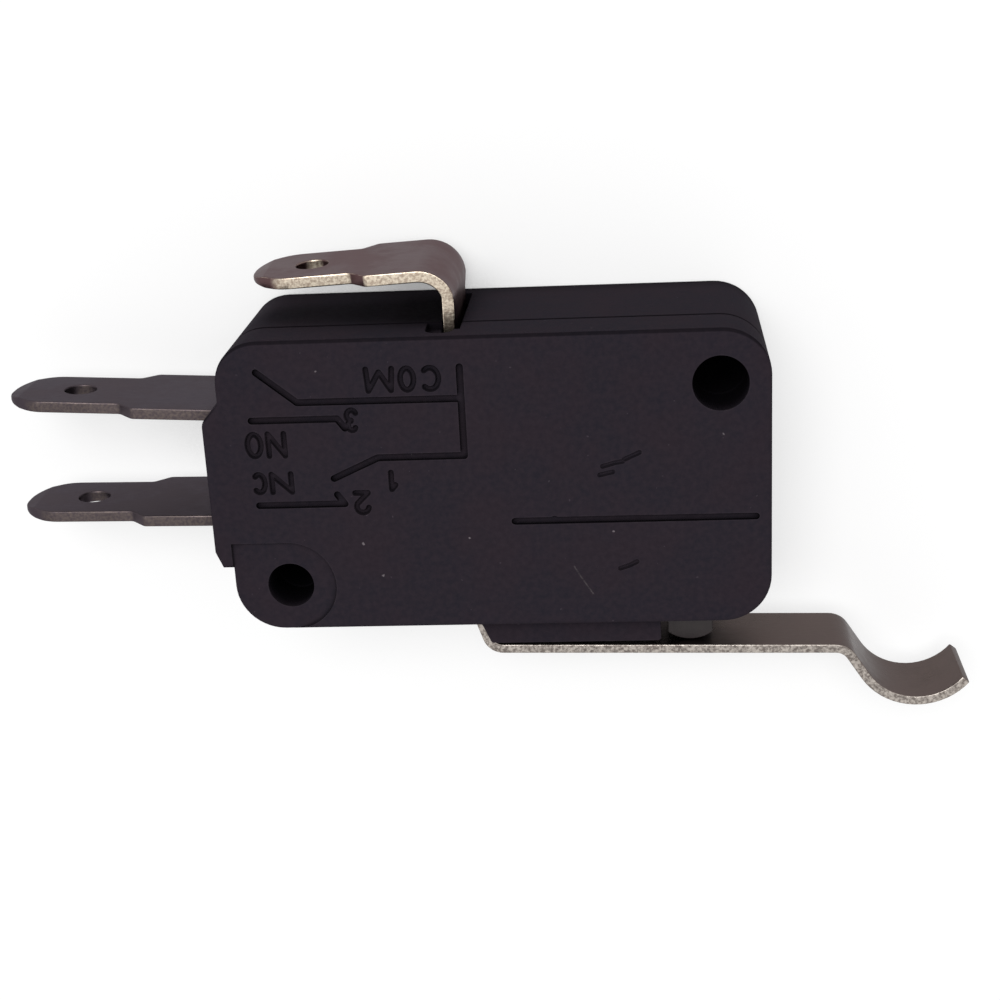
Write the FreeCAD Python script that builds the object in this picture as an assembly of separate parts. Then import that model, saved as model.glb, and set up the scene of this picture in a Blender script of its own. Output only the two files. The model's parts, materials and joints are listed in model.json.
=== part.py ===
"""Snap-action micro switch with a bent-tip lever, three push-on tabs and its whole inner mechanism.

It lies on its back mounting face. +X runs to the two end tabs, +Y to the lever, +Z out of the
front face. The origin is on the axis of mounting hole 1, at the back face. Millimetres, degrees.
"""
import FreeCAD, Part
import math
import os

os.makedirs("parts", exist_ok=True)
V = FreeCAD.Vector
Z_AXIS = V(0, 0, 1)

# Mounting holes
hole_pitch_x = 22.2
hole_pitch_y = 10.3
hole_1_diameter = 2.8
hole_2_diameter = 2.4
hole_wall = 0.95

# Housing outline, measured outwards from the two holes
end_margin_1 = 2.5
end_margin_2 = 2.9
side_margin_1 = 2.75
side_margin_2 = 2.42
corner_radius = 2.45
block_corner_radius = 2.2
wall = 1.2
end_wall = 1.6
inner_corner = 1.2
back_edge = 0.3
front_edge = 0.25

# Stack through the housing's depth, from the back face to the front face
floor = 1.0
terminal_seat = 0.525
shoulder_width = 6.35
terminal_headroom = 1.225
cover_plate = 1.2
lever_key_depth = 0.43

# Terminal block that stands out of the end wall
block_reach = 0.9
block_from = 0.45
block_to = 9.25
block_bevel = 0.95
block_round = 0.7
block_nose = 0.35
block_nose_length = 0.85

# Front face: shallow recess round hole 2 and the engraved circuit lines
pad_depth = 0.18
pad_radius = 2.4
groove_width = 0.36
groove_depth = 0.22
common_line_y = 0.41
common_line_edge_y = -1.2
common_line_end_x = 22.95
common_line_knee_x = 21.0
blade_line_x = 12.78
blade_line_y = 3.4
blade_line_knee_x = 17.15
blade_line_tip_x = 19.45
blade_line_tip_y = 4.45
open_line_y = 1.3
closed_line_y = 5.82
contact_line_end_x = 23.4
open_line_stop_x = 19.05
closed_line_stop_x = 19.0
line_hook_x = 0.35
line_hook_y = 0.5
long_line_y = 6.97
long_line_from = -1.7
long_line_to = 10.4

# Push-on tabs and the sheet they are stamped from
sheet = 0.6
tab_width = 4.75
shoulder_length = 5.05
tab_length = 6.35
tip_length = 1.6
tip_inset = 1.3
tip_round = 1.8
nose_length = 0.8
nose_depth = 0.16
tab_hole_diameter = 1.7
tab_hole_from_tip = 3.65
plate_corner = 0.4
terminal_fit = 0.03
open_plate_height = 4.15
closed_plate_gap = 0.35
open_tab_angle = -2.9
closed_tab_angle = -0.8
contact_end_width = 4.4
plate_tail = 2.7

# Common terminal: a stem through the side wall, bent over outside and folded into a bracket inside
stem_x = 13.12
common_bend_radius = 1.25
common_gap = 2.38
common_shoulder_length = 5.25
common_tab_length = 5.35
common_hole_from_tip = 3.05
common_slope_angle = 3.0
common_twist_angle = 2.7
slot_relief = 0.3
slot_relief_depth = 0.6
pocket_width = 1.4
pocket_height = 2.1
pocket_round = 0.7
pocket_depth = 0.3
bracket_post = 1.9
bracket_base_height = 1.5
bracket_fold_radius = 0.35

# Contacts
contact_inset = 4.2
contact_gap = 0.86
contact_radius = 1.25
contact_edge = 0.2
contact_shank_radius = 0.6
contact_tail_radius = 0.9
contact_tail = 0.3
moving_head = 0.95
contact_dome_radius = 4.5
contact_clearance = 0.03

# Contact arm, forked at its pivot end
arm_pivot_x = 6.6
arm_thickness = 0.3
arm_leg = 0.75
arm_nose_width = 3.4
arm_nose_margin = 0.35
arm_fork_inset = 3.7
arm_hook_inset = 0.7
hook_hole_radius = 0.3
trunnion_radius = 0.45
pivot_fit = 0.05
side_fit = 0.12

# Rocker between the plunger and the spring
rocker_pivot_x = 10.5
rocker_thickness = 0.5
rocker_overhang = 1.35
rocker_corner = 0.8
rocker_trunnion_radius = 0.5
tongue_width = 1.3
tongue_x = 3.7
tongue_end = 0.85
tongue_fit = 0.1

# Snap spring, a coil in tension from the rocker's tongue to the arm
spring_over_centre = 0.5
spring_radius = 0.72
spring_wire = 0.11
spring_hook = 1.1
spring_gap = 0.05

# Plunger
plunger_x = 1.55
plunger_width = 2.4
plunger_depth = 2.9
plunger_dome = 2.0
plunger_foot = 0.55
plunger_flange = 0.5
plunger_flange_height = 0.7
plunger_clearance = 0.04
plastic_fit = 0.05
guide_wall = 0.9
guide_length = 1.6

# Lever: bead in the case, flange, straight run, bend and round tip
lever_sheet = 0.5
lever_width = 4.3
lever_rise = 3.51
lever_tilt_angle = 1.0
lever_travel_angle = 6.2
lever_bead_radius = 0.65
lever_pivot_x = 13.5
lever_pivot_depth = 0.87
lever_lean_angle = 18.0
lever_corner_radius = 0.9
lever_bend_angle = 56.0
lever_bend_radius = 1.0
tip_radius = 3.29
tip_reach = 24.06
tip_rise = 3.53
tip_sweep_angle = 108.0
socket_fit = 0.06
socket_wall = 0.9
mouth_gap = 0.1

# Ridge on the lever side that stops the lever
ridge_gap = 0.4
ridge_back = 1.0
ridge_front = 1.3
ridge_clearance = 0.15
ridge_round = 0.2

# Pegs that locate the cover, and the ribs that hold the terminal plates
peg_radius = 0.6
peg_length = 1.6
peg_wall = 0.6
peg_bottom_gap = 0.3
rib = 0.8
rib_clearance = 0.3

# Values worked out from the driving dimensions
x_low = -end_margin_1
x_high = hole_pitch_x + end_margin_2
x_block = x_high + block_reach
y_low = -side_margin_1
y_high = hole_pitch_y + side_margin_2
x_inner = x_high - end_wall
y_inner_low = y_low + wall
y_inner_high = y_high - wall
shoulder_low_z = floor + terminal_seat
shoulder_high_z = shoulder_low_z + shoulder_width
mid_z = shoulder_low_z + shoulder_width / 2
cover_inner_z = shoulder_high_z + terminal_headroom
depth = cover_inner_z + cover_plate
split_z = mid_z + lever_width / 2 + side_fit + lever_key_depth

normally_open_y = y_low + open_plate_height
normally_closed_y = hole_pitch_y - hole_2_diameter / 2 - hole_wall - closed_plate_gap - sheet
contact_x = x_inner - contact_inset
arm_pivot_y = (normally_open_y + sheet + normally_closed_y) / 2
arm_length = contact_x - arm_pivot_x
arm_swing_angle = math.degrees(2 * math.asin(contact_gap / 2 / arm_length))
arm_width = shoulder_width - 2 * sheet - 2 * side_fit
arm_end_x = contact_x + contact_radius + arm_nose_margin
arm_fork_end = contact_x - arm_fork_inset
hook_x = arm_fork_end + arm_hook_inset
hook_y = arm_pivot_y + spring_over_centre
moving_half = arm_thickness / 2 + moving_head
fixed_face = contact_gap / 2 + moving_half + contact_clearance

guide_low_y = y_inner_high - guide_length
flange_high_y = guide_low_y - plastic_fit
flange_low_y = flange_high_y - plunger_flange_height
foot_y = flange_low_y - plunger_foot
rocker_pivot_y = foot_y - plunger_clearance - rocker_thickness / 2
lever_pivot_y = y_high - lever_pivot_depth


def turned(x, y, angle):
    """The vector (x, y) turned about Z by an angle in degrees."""
    a = math.radians(angle)
    return x * math.cos(a) - y * math.sin(a), x * math.sin(a) + y * math.cos(a)


def lever_face_y(x, press=0.0):
    """Height of the lever's inner face at x, with the lever pressed by some degrees."""
    a = math.radians(lever_tilt_angle - press)
    along = (lever_pivot_x - x + lever_rise * math.sin(a)) / math.cos(a)
    return lever_pivot_y + along * math.sin(a) + lever_rise * math.cos(a)


def flange_face_x(y, side, lean):
    """Where a face of the lever's flange is at height y, on its -X (-1) or +X (1) side."""
    a = math.radians(lean)
    return lever_pivot_x - (y - lever_pivot_y) * math.tan(a) + side * lever_sheet / 2 / math.cos(a)


def rounded_wire(corners, to_3d):
    """A closed wire of straight runs and arcs. Each corner is (u, v, radius)."""
    count = len(corners)
    joints = []
    for i in range(count):
        u, v, radius = corners[i]
        before = corners[i - 1]
        after = corners[(i + 1) % count]
        corner = V(u, v, 0)
        back = V(before[0] - u, before[1] - v, 0)
        ahead = V(after[0] - u, after[1] - v, 0)
        back.normalize()
        ahead.normalize()
        half = back.getAngle(ahead) / 2
        if radius <= 0:
            joints.append((corner, None, corner))
            continue
        reach = radius / math.tan(half)
        inward = back + ahead
        inward.normalize()
        crown = corner + inward * (radius / math.sin(half) - radius)
        joints.append((corner + back * reach, crown, corner + ahead * reach))
    edges = []
    for i in range(count):
        begin, crown, end = joints[i]
        if crown is not None:
            edges.append(Part.Arc(to_3d(begin), to_3d(crown), to_3d(end)).toShape())
        following = joints[(i + 1) % count][0]
        if end.distanceToPoint(following) > 1e-6:
            edges.append(Part.LineSegment(to_3d(end), to_3d(following)).toShape())
    return Part.Wire(edges)


def prism(corners, z_from, z_to):
    """Extrude a rounded outline in the XY plane from z_from to z_to."""
    wire = rounded_wire(corners, lambda p: V(p.x, p.y, z_from))
    return Part.Face(wire).extrude(V(0, 0, z_to - z_from))


def stamping(corners, y_from, y_to):
    """Extrude a rounded outline in the XZ plane from y_from to y_to."""
    wire = rounded_wire(corners, lambda p: V(p.x, y_from, p.y))
    return Part.Face(wire).extrude(V(0, y_to - y_from, 0))


def block(x0, x1, y0, y1, z0, z1):
    return Part.makeBox(x1 - x0, y1 - y0, z1 - z0, V(x0, y0, z0))


def rod(x, y, radius, z_from, z_to):
    """A round bar along Z."""
    return Part.makeCylinder(radius, z_to - z_from, V(x, y, z_from), Z_AXIS)


def post(x, z, radius, y_from, y_to):
    """A round bar along Y."""
    return Part.makeCylinder(radius, y_to - y_from, V(x, y_from, z), V(0, 1, 0))


def bent_strip(path, thickness, width):
    """A strip of sheet along a path of (x, y, bend radius) points on its middle line."""
    half = thickness / 2
    sides = []
    for side in (1, -1):
        row = []
        for i, (x, y, radius) in enumerate(path):
            inner = 0 < i < len(path) - 1
            here = V(x, y, 0)
            came = here - V(path[i - 1][0], path[i - 1][1], 0) if i > 0 else None
            goes = V(path[i + 1][0], path[i + 1][1], 0) - here if i < len(path) - 1 else None
            first = came or goes
            last = goes or came
            first.normalize()
            last.normalize()
            across = V(-first.y - last.y, first.x + last.x, 0)
            across.normalize()
            spread = half / math.cos(first.getAngle(last) / 2)
            turns_left = first.x * last.y - first.y * last.x > 0
            own = 0
            if inner:
                own = radius - half if turns_left == (side > 0) else radius + half
            row.append((x + side * spread * across.x, y + side * spread * across.y, own))
        sides.append(row)
    return prism(sides[0] + sides[1][::-1], mid_z - width / 2, mid_z + width / 2)


def outer_corners():
    """The housing's outline, with the terminal block and its notch at the +X end."""
    return [
        (x_low, y_low, corner_radius),
        (x_high, y_low, block_corner_radius),
        (x_high, block_from, 0),
        (x_block, block_from + block_bevel, block_round),
        (x_block, block_to - block_nose_length, 0),
        (x_block - block_nose, block_to, 0),
        (x_high, block_to, 0),
        (x_high, y_high, corner_radius),
        (x_low, y_high, corner_radius),
    ]


def inner_corners():
    """The cavity's outline."""
    return [
        (x_low + wall, y_inner_low, inner_corner),
        (x_inner, y_inner_low, inner_corner),
        (x_inner, y_inner_high, inner_corner),
        (x_low + wall, y_inner_high, inner_corner),
    ]


def housing_slab(z_from, z_to, edge_z, edge_size):
    """A solid slab of the housing's outline, rounded along its rim at edge_z."""
    slab = prism(outer_corners(), z_from, z_to)
    rim = [e for e in slab.Edges
           if abs(e.BoundBox.ZMin - edge_z) < 1e-6 and abs(e.BoundBox.ZMax - edge_z) < 1e-6]
    return slab.makeFillet(edge_size, rim)


def inner_bosses(z_from, z_to):
    """What stays standing in the cavity: hole bosses, plunger guide and lever socket."""
    guide = plunger_width / 2 + guide_wall
    socket = lever_bead_radius + socket_wall
    return [
        rod(0, 0, hole_1_diameter / 2 + hole_wall, z_from, z_to),
        rod(hole_pitch_x, hole_pitch_y, hole_2_diameter / 2 + hole_wall, z_from, z_to),
        block(plunger_x - guide, plunger_x + guide, guide_low_y, y_high, z_from, z_to),
        prism([
            (lever_pivot_x - socket, lever_pivot_y - socket, plate_corner),
            (lever_pivot_x + socket, lever_pivot_y - socket, plate_corner),
            (lever_pivot_x + socket, y_high, 0),
            (lever_pivot_x - socket, y_high, 0),
        ], z_from, z_to),
    ]


def mounting_holes():
    return [
        rod(0, 0, hole_1_diameter / 2, -1, depth + 1),
        rod(hole_pitch_x, hole_pitch_y, hole_2_diameter / 2, -1, depth + 1),
    ]


def peg_places():
    """One peg in the free corner beside the open plate, one between plunger guide and socket."""
    inset = peg_radius + peg_wall
    guide_end = plunger_x + plunger_width / 2 + guide_wall
    socket_start = lever_pivot_x - lever_bead_radius - socket_wall
    return [
        (x_inner - inset + plastic_fit, y_inner_low + inset - plastic_fit),
        ((guide_end + socket_start) / 2, y_inner_high - inset + plastic_fit),
    ]


def ridge(z_from, z_to):
    """The ridge's top meets the pressed lever, and its end clears the swinging flange."""
    top = lever_face_y(ridge_from_x(), lever_travel_angle) - ridge_clearance
    lean = lever_lean_angle + lever_travel_angle
    return prism([
        (ridge_from_x(), y_high - wall / 2, 0),
        (flange_face_x(y_high, -1, lean) - mouth_gap, y_high - wall / 2, 0),
        (flange_face_x(y_high, -1, lean) - mouth_gap, y_high, 0),
        (flange_face_x(top, -1, lean) - mouth_gap, top, ridge_round),
        (ridge_from_x(), top, ridge_round),
    ], z_from, z_to)


def ridge_from_x():
    return plunger_x + plunger_width / 2 + ridge_gap


def terminal_slots(z_from, z_to):
    """Openings in the end wall for the two tabs, and in the side wall for the stem."""
    cuts = []
    for y in (normally_open_y - terminal_fit, normally_closed_y - terminal_fit):
        cuts.append(block(x_inner - 1, x_block + 1, y, y + sheet + 2 * terminal_fit, z_from, z_to))
    near = stem_x - terminal_fit
    cuts.append(block(near, near + sheet + 2 * terminal_fit, y_low - 1, y_inner_low + 1, z_from, z_to))
    return cuts


def stem_relief():
    """The stem's slot is wider at the outside, on both halves."""
    low = y_low - 1
    high = y_low + slot_relief_depth
    near = stem_x - slot_relief
    far = stem_x + sheet + 2 * terminal_fit
    return block(near, far, low, high, shoulder_low_z - slot_relief, shoulder_high_z + 3 * slot_relief)


def plunger_passage():
    """The square passage for the plunger, open to the split plane for assembly."""
    half = plunger_width / 2 + plastic_fit
    z_from = mid_z - plunger_depth / 2 - plastic_fit
    return block(plunger_x - half, plunger_x + half, guide_low_y - 0.1, y_high + 1, z_from, split_z + 1)


def plunger_key():
    """Tongue of the cover that closes the open side of the plunger's passage."""
    half = plunger_width / 2 - plastic_fit
    z_from = mid_z + plunger_depth / 2 + plastic_fit
    return block(plunger_x - half, plunger_x + half, guide_low_y, y_high, z_from, split_z + plastic_fit)


def socket_shape(fit, z_from, z_to):
    """The keyhole of the lever's bead, with a mouth that the flange swings in."""
    top = y_high + 1
    pressed = lever_lean_angle + lever_travel_angle
    seat = rod(lever_pivot_x, lever_pivot_y, lever_bead_radius + fit, z_from, z_to)
    mouth = prism([
        (flange_face_x(lever_pivot_y, -1, pressed) - fit, lever_pivot_y, 0),
        (flange_face_x(lever_pivot_y, 1, lever_lean_angle) + fit, lever_pivot_y, 0),
        (flange_face_x(top, 1, lever_lean_angle) + fit, top, 0),
        (flange_face_x(top, -1, pressed) - fit, top, 0),
    ], z_from, z_to)
    return seat.fuse(mouth)


def lever_key():
    """Tongue of the cover that fills the keyhole beside the lever."""
    z_from = mid_z + lever_width / 2 + side_fit
    key = socket_shape(-plastic_fit, z_from, split_z + plastic_fit)
    return key.common(block(x_low, x_high, y_low, y_high, z_from, split_z + plastic_fit))


def make_case():
    cavity = prism(inner_corners(), floor, split_z + 1).cut(inner_bosses(0, depth))
    body = housing_slab(0, split_z, 0, back_edge).cut(cavity)
    pegs = [rod(x, y, peg_radius + peg_wall, floor / 2, split_z) for x, y in peg_places()]
    body = body.fuse([ridge(ridge_back, split_z)] + terminal_ribs() + pegs)
    peg_holes = [rod(x, y, peg_radius + plastic_fit, split_z - peg_length - peg_bottom_gap, split_z + 1)
                 for x, y in peg_places()]
    socket = socket_shape(socket_fit, mid_z - lever_width / 2 - side_fit, split_z + 1)
    slots = terminal_slots(shoulder_low_z - terminal_fit, split_z + 1)
    body = body.cut(mounting_holes() + slots + peg_holes + [plunger_passage(), socket, stem_relief()])
    return body.removeSplitter()


def terminal_ribs():
    """Ribs under the two contact plates, and the pad under the bracket."""
    low = y_inner_low - wall / 2
    high = y_inner_high + wall / 2
    tail = contact_tail_radius + rib_clearance
    beside = (contact_x - tail - rib, contact_x + tail)
    ribs = [block(x, x + rib, low, normally_open_y, floor / 2, split_z - rib_clearance) for x in beside]
    x = beside[0]
    ribs.append(block(x, x + rib, normally_closed_y + sheet, high, floor / 2, split_z - rib_clearance))
    pad_high = y_inner_low + bracket_base_height
    ribs.append(block(bracket_low_x(), stem_x, low, pad_high, floor / 2, shoulder_low_z))
    return ribs


def make_cover():
    recess = prism(inner_corners(), split_z - 1, cover_inner_z).cut(inner_bosses(0, depth))
    body = housing_slab(split_z, depth, depth, front_edge).cut(recess)
    pegs = [rod(x, y, peg_radius, split_z - peg_length, cover_inner_z + 0.1) for x, y in peg_places()]
    body = body.fuse([ridge(split_z, depth - ridge_front), plunger_key(), lever_key()] + pegs)
    slots = terminal_slots(split_z - 1, shoulder_high_z + terminal_fit)
    cuts = slots + mounting_holes() + circuit_grooves()
    body = body.cut(cuts + [common_pocket(), stem_relief(), hole_2_pad()])
    return body.removeSplitter()


def common_pocket():
    """Shallow pocket in the cover's side, beside the stem."""
    return stamping([
        (stem_x, split_z - 1, 0),
        (stem_x + pocket_width, split_z - 1, 0),
        (stem_x + pocket_width, split_z + pocket_height, pocket_round),
        (stem_x, split_z + pocket_height, pocket_round),
    ], y_low - 1, y_low + pocket_depth)


def hole_2_pad():
    """The front face is a little lower round hole 2, out to the corner."""
    z_from = depth - pad_depth
    disc = rod(hole_pitch_x, hole_pitch_y, pad_radius, z_from, depth + 1)
    corner = block(hole_pitch_x, x_high, hole_pitch_y - pad_radius, y_high + 1, z_from, depth + 1)
    return disc.fuse(corner)


def groove(points):
    """An engraved line through the points on the front face."""
    pieces = []
    z_from = depth - groove_depth
    for i, (x, y) in enumerate(points):
        pieces.append(rod(x, y, groove_width / 2, z_from, depth + 1))
        if i > 0:
            dx = x - points[i - 1][0]
            dy = y - points[i - 1][1]
            bar = block(0, math.hypot(dx, dy), -groove_width / 2, groove_width / 2, z_from, depth + 1)
            bar.rotate(V(0, 0, 0), Z_AXIS, math.degrees(math.atan2(dy, dx)))
            bar.translate(V(points[i - 1][0], points[i - 1][1], 0))
            pieces.append(bar)
    return pieces[0].fuse(pieces[1:])


def circuit_grooves():
    """The changeover circuit as engraved lines, and one long plain line."""
    return [
        groove([(common_line_end_x, common_line_edge_y), (common_line_knee_x, common_line_y),
                (blade_line_x, common_line_y)]),
        groove([(blade_line_x, common_line_edge_y), (blade_line_x, blade_line_y),
                (blade_line_knee_x, blade_line_y), (blade_line_tip_x, blade_line_tip_y)]),
        groove([(contact_line_end_x, open_line_y), (open_line_stop_x, open_line_y),
                (open_line_stop_x - line_hook_x, open_line_y + line_hook_y)]),
        groove([(contact_line_end_x, closed_line_y), (closed_line_stop_x, closed_line_y),
                (closed_line_stop_x + line_hook_x, closed_line_y - line_hook_y)]),
        groove([(long_line_from, long_line_y), (long_line_to, long_line_y)]),
    ]


def tab_blade(y, x_root, x_step, length, hole_from_tip):
    """A flat tab: shoulder, step, blade with its hole, and a bevelled nose."""
    x_tip = x_step + length
    wide = shoulder_width / 2
    slim = tab_width / 2
    upper = [
        (x_tip, slim - tip_inset, tip_round),
        (x_tip - tip_length, slim, tip_round),
        (x_step, slim, plate_corner),
        (x_step - (wide - slim), wide, plate_corner),
        (x_root, wide, 0),
    ]
    lower = [(x, -z, r) for x, z, r in upper[::-1]]
    blade = stamping([(x, mid_z + z, r) for x, z, r in lower + upper], y, y + sheet)
    hole = post(x_tip - hole_from_tip, mid_z, tab_hole_diameter / 2, y - 1, y + sheet + 1)
    nose = prism([
        (x_root - 1, y, 0),
        (x_tip - nose_length, y, 0),
        (x_tip, y + nose_depth, 0),
        (x_tip, y + sheet - nose_depth, 0),
        (x_tip - nose_length, y + sheet, 0),
        (x_root - 1, y + sheet, 0),
    ], 0, depth)
    return blade.cut(hole).common(nose)


def end_terminal(y, bend):
    """A plate through the end wall: contact end inside, tab outside, bent a little at the wall."""
    half = contact_end_width / 2
    wide = shoulder_width / 2
    neck = x_inner - rib
    upper = [
        (x_block, wide, 0),
        (neck, wide, plate_corner),
        (neck - (wide - half), half, plate_corner),
        (contact_x - plate_tail, half, 2 * plate_corner),
    ]
    lower = [(x, -z, r) for x, z, r in upper[::-1]]
    inner = stamping([(x, mid_z + z, r) for x, z, r in upper + lower], y, y + sheet)
    inner = inner.cut(post(contact_x, mid_z, contact_shank_radius, y - 1, y + sheet + 1))
    outer = tab_blade(y, x_block, x_block + shoulder_length, tab_length, tab_hole_from_tip)
    outer.rotate(V(x_block, y + sheet / 2, 0), Z_AXIS, bend)
    knuckle = rod(x_block, y + sheet / 2, sheet / 2, mid_z - wide, mid_z + wide)
    return inner.fuse([outer, knuckle]).removeSplitter()


def bracket_low_x():
    """The bracket starts under the arm's post."""
    return arm_pivot_x - bracket_post / 2


def make_common_terminal():
    """Tab outside, stem through the side wall, and the bracket that carries arm and rocker."""
    leg_y = y_low - common_gap - sheet / 2
    base_y = y_inner_low + bracket_fold_radius + sheet / 2
    shoulder_x = stem_x + common_shoulder_length
    root_x = shoulder_x - shoulder_width / 4
    middle = stem_x + sheet / 2
    outside = bent_strip([
        (root_x, leg_y, 0),
        (middle, leg_y, common_bend_radius + sheet / 2),
        (middle, y_low - sheet / 2, 0),
    ], sheet, shoulder_width)
    blade = tab_blade(leg_y - sheet / 2, root_x, shoulder_x, common_tab_length, common_hole_from_tip)
    outside = outside.fuse(blade)
    outside.rotate(V(middle, leg_y, mid_z), V(1, 0, 0), -common_twist_angle)
    outside.rotate(V(middle, leg_y, mid_z), Z_AXIS, common_slope_angle)
    inside = bent_strip([
        (middle, y_low - 2 * sheet, 0),
        (middle, base_y, bracket_fold_radius + sheet / 2),
        (bracket_low_x(), base_y, 0),
    ], sheet, shoulder_width)
    cheeks = [bracket_cheek(z) for z in (shoulder_low_z, shoulder_high_z - sheet)]
    body = outside.fuse([inside] + cheeks)
    seats = [
        rod(arm_pivot_x, arm_pivot_y, trunnion_radius + pivot_fit, -1, depth + 1),
        rod(rocker_pivot_x, rocker_pivot_y, rocker_trunnion_radius + pivot_fit, -1, depth + 1),
    ]
    return body.cut(seats).removeSplitter()


def bracket_cheek(z):
    """One side of the folded bracket: a short post for the arm and a tall post for the rocker."""
    half = bracket_post / 2
    saddle = y_inner_low + bracket_fold_radius + sheet + bracket_base_height
    crown = 0.98 * half
    return prism([
        (arm_pivot_x - half, y_inner_low, 0),
        (rocker_pivot_x + half, y_inner_low, 0),
        (rocker_pivot_x + half, rocker_pivot_y + half, crown),
        (rocker_pivot_x - half, rocker_pivot_y + half, crown),
        (rocker_pivot_x - half, saddle, plate_corner),
        (arm_pivot_x + half, saddle, plate_corner),
        (arm_pivot_x + half, arm_pivot_y + half, crown),
        (arm_pivot_x - half, arm_pivot_y + half, crown),
    ], z, z + sheet)


def fixed_contact(plate_y, facing):
    """A rivet in a plate. Its head faces the arm: facing is 1 for +Y and -1 for -Y."""
    near_y = plate_y + sheet if facing > 0 else plate_y
    far_y = plate_y if facing > 0 else plate_y + sheet
    face_y = arm_pivot_y - facing * fixed_face
    head = post(contact_x, mid_z, contact_radius, min(face_y, near_y), max(face_y, near_y))
    rim = [e for e in head.Edges
           if abs(e.BoundBox.YMin - face_y) < 1e-6 and abs(e.BoundBox.YMax - face_y) < 1e-6]
    head = head.makeChamfer(contact_edge, rim)
    shank = post(contact_x, mid_z, contact_shank_radius, plate_y, plate_y + sheet)
    tail_y = far_y - contact_tail if facing > 0 else far_y
    tail = post(contact_x, mid_z, contact_tail_radius, tail_y, tail_y + contact_tail)
    return head.fuse([shank, tail]).removeSplitter()


def at_rest(solid):
    """Turn what was built on the arm's level middle line to the arm's rest angle."""
    solid.rotate(V(arm_pivot_x, arm_pivot_y, 0), Z_AXIS, arm_swing_angle / 2)
    return solid


def trunnion_pair(x, y, radius, inner):
    """Two pivot pins that end inside the bracket's cheeks."""
    reach = shoulder_width / 2 - pivot_fit
    return [
        rod(x, y, radius, mid_z - reach, mid_z - inner),
        rod(x, y, radius, mid_z + inner, mid_z + reach),
    ]


def make_contact_arm():
    """A flat spring-metal blade, forked round the spring and narrowed at the contact."""
    half = arm_width / 2
    slot = half - arm_leg
    nose = arm_nose_width / 2
    y0 = arm_pivot_y - arm_thickness / 2
    y1 = y0 + arm_thickness
    upper = [
        (arm_end_x, nose, nose / 2),
        (contact_x - contact_radius, nose, plate_corner),
        (arm_fork_end, half, plate_corner),
        (arm_pivot_x, half, 0),
        (arm_pivot_x, slot, 0),
        (arm_fork_end, slot, plate_corner),
    ]
    lower = [(x, -z, r) for x, z, r in upper[::-1]]
    blade = stamping([(x, mid_z + z, r) for x, z, r in lower + upper], y0, y1)
    blade = blade.cut([
        post(contact_x, mid_z, contact_shank_radius, y0 - 1, y1 + 1),
        post(hook_x, mid_z, hook_hole_radius, y0 - 1, y1 + 1),
    ])
    pins = trunnion_pair(arm_pivot_x, arm_pivot_y, trunnion_radius, slot)
    return at_rest(blade.fuse(pins).removeSplitter())


def make_moving_contact():
    """One rivet with a domed head on each side of the arm."""
    pieces = [post(contact_x, mid_z, contact_shank_radius, arm_pivot_y - moving_half / 2,
                   arm_pivot_y + moving_half / 2)]
    for side in (1, -1):
        face = arm_pivot_y + side * moving_half
        root = arm_pivot_y + side * arm_thickness / 2
        head = post(contact_x, mid_z, contact_radius, min(face, root), max(face, root))
        ball = Part.makeSphere(contact_dome_radius, V(contact_x, face - side * contact_dome_radius, mid_z))
        pieces.append(head.common(ball))
    return at_rest(pieces[0].fuse(pieces[1:]).removeSplitter())


def make_rocker():
    """Plate under the plunger, pivoted in the tall posts, with a tongue folded down for the spring."""
    half = arm_width / 2
    low = rocker_pivot_y - rocker_thickness / 2
    high = low + rocker_thickness
    tongue_low = hook_y - tongue_end
    plate = stamping([
        (plunger_x - rocker_overhang, mid_z - half, rocker_corner),
        (rocker_pivot_x, mid_z - half, 0),
        (rocker_pivot_x, mid_z + half, 0),
        (plunger_x - rocker_overhang, mid_z + half, rocker_corner),
    ], low, high)
    cut_half = tongue_width / 2 + tongue_fit
    folded = low - tongue_low
    window = block(tongue_x + rocker_thickness, tongue_x + rocker_thickness + folded, low - 1, high + 1,
                   mid_z - cut_half, mid_z + cut_half)
    tongue = block(tongue_x, tongue_x + rocker_thickness, tongue_low, high,
                   mid_z - tongue_width / 2, mid_z + tongue_width / 2)
    eye = Part.makeCylinder(hook_hole_radius, 3 * rocker_thickness,
                            V(tongue_x - rocker_thickness, hook_y, mid_z), V(1, 0, 0))
    pins = trunnion_pair(rocker_pivot_x, rocker_pivot_y, rocker_trunnion_radius, 0)
    return plate.cut(window).fuse([tongue.cut(eye)] + pins).removeSplitter()


def spring_ends():
    """The eye in the rocker's tongue, and the hole in the arm at its rest angle."""
    x, y = turned(hook_x - arm_pivot_x, 0, arm_swing_angle / 2)
    left = V(tongue_x + rocker_thickness + spring_gap, hook_y, mid_z)
    right = V(arm_pivot_x + x - hook_hole_radius, arm_pivot_y + y + arm_thickness, mid_z)
    return left, right


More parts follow.
